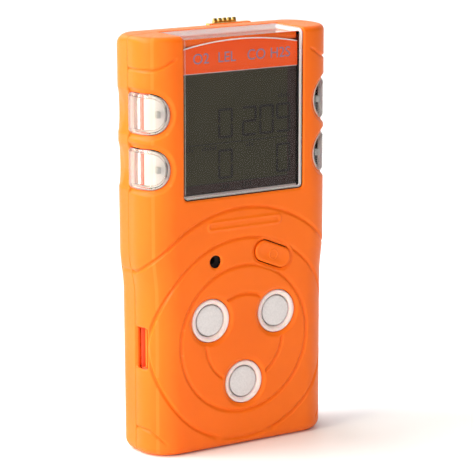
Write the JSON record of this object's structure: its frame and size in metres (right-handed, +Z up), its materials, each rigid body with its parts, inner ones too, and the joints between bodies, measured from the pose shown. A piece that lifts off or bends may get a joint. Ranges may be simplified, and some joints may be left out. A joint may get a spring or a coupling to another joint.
{
  "type": "portable gas detector",
  "caption": "Hand-sized clip-on gas alarm: orange case, wrap-over display window, round sensor ports, push key, side alarm lights and a sprung clip behind.",
  "frame": {"origin": "middle of the case's base face, on the surface that the detector stands on", "axes": "+Z up along the case, +X to the right as the user reads the display, the display faces -Y and the clip is on +Y"},
  "size_m": [0.062, 0.0369, 0.1187],
  "materials": {
    "case_orange": "fine moulded grain, glass-filled orange plastic",
    "key_orange": "smooth satin moulding",
    "strip_orange": "printed film under the window",
    "window_clear": "polished clear polycarbonate",
    "lens_clear": "polished clear polycarbonate",
    "lcd": "dark liquid-crystal glass",
    "white_plastic": "satin white moulding",
    "sensor_can": "satin white moulding",
    "port_ring": "pale translucent silicone",
    "filter_cloth": "fine white membrane",
    "coral_rubber": "soft coral gasket",
    "black_rubber": "matt black gasket",
    "black_plastic": "matt black moulding",
    "board_green": "solder-masked laminate",
    "battery_wrap": "shrink-wrapped pouch in a thin can",
    "steel": "fine brushed",
    "clip_metal": "bright nickel-plated spring steel",
    "contact_gold": "gold-plated",
    "plate_print": "printed label"
  },
  "bodies": {
    "case": {"front_cover": "case_orange", "rear_cover": "case_orange", "cover_seal": "black_rubber", "display_window": "window_clear", "name_strip": "strip_orange", "lcd_glass": "lcd", "lcd_backlight": "white_plastic", "lcd_holder": "black_plastic", "infrared_port": "black_plastic", "sounder": "black_plastic", "key_switch": "black_plastic", "alarm_lens_left_upper": "lens_clear", "alarm_reflector_left_upper": "white_plastic", "alarm_lamp_left_upper": "white_plastic", "alarm_lens_left_lower": "lens_clear", "alarm_reflector_left_lower": "white_plastic", "alarm_lamp_left_lower": "white_plastic", "lens_seal_left": "coral_rubber", "led_board_left": "board_green", "charge_contact_left": "contact_gold", "alarm_lens_right_upper": "lens_clear", "alarm_reflector_right_upper": "white_plastic", "alarm_lamp_right_upper": "white_plastic", "alarm_lens_right_lower": "lens_clear", "alarm_reflector_right_lower": "white_plastic", "alarm_lamp_right_lower": "white_plastic", "lens_seal_right": "coral_rubber", "led_board_right": "board_green", "charge_contact_right": "contact_gold", "sensor_left": "sensor_can", "port_seal_left": "port_ring", "port_filter_left": "filter_cloth", "sensor_right": "sensor_can", "port_seal_right": "port_ring", "port_filter_right": "filter_cloth", "sensor_lower": "sensor_can", "port_seal_lower": "port_ring", "port_filter_lower": "filter_cloth", "main_board": "board_green", "sensor_board": "board_green", "battery": "battery_wrap", "vibration_motor": "steel", "case_screw_1": "steel", "case_screw_2": "steel", "case_screw_3": "steel", "case_screw_4": "steel", "clip_screw": "steel", "rating_plate": "plate_print"},
    "key": {"power_key": "key_orange"},
    "motor_weight": {"vibration_weight": "steel"},
    "clip": {"clip_base": "clip_metal", "clip_pin": "clip_metal", "clip_spring": "clip_metal"},
    "jaw": {"clip_jaw": "clip_metal"}
  },
  "joints": [
    {"name": "key_press", "type": "slide", "parent": "case", "child": "key", "axis": [0, 1, 0], "range_m": [0, 0.0008], "stiffness_N_per_m": 1500, "springref_m": -0.0008},
    {"name": "motor_spin", "type": "hinge", "parent": "case", "child": "motor_weight", "pos_m": [0.0234, 0.0042, 0.0625], "axis": [0, 0, 1], "continuous": true},
    {"name": "clip_swivel", "type": "hinge", "parent": "case", "child": "clip", "pos_m": [0.0106, 0.013, 0.082], "axis": [0, 1, 0], "range_deg": [-45, 45]},
    {"name": "jaw_open", "type": "hinge", "parent": "clip", "child": "jaw", "pos_m": [0.0106, 0.018, 0.09], "axis": [-1, 0, 0], "range_deg": [0, 28], "stiffness_Nm_per_rad": 0.6, "springref_deg": -20.05}
  ]
}
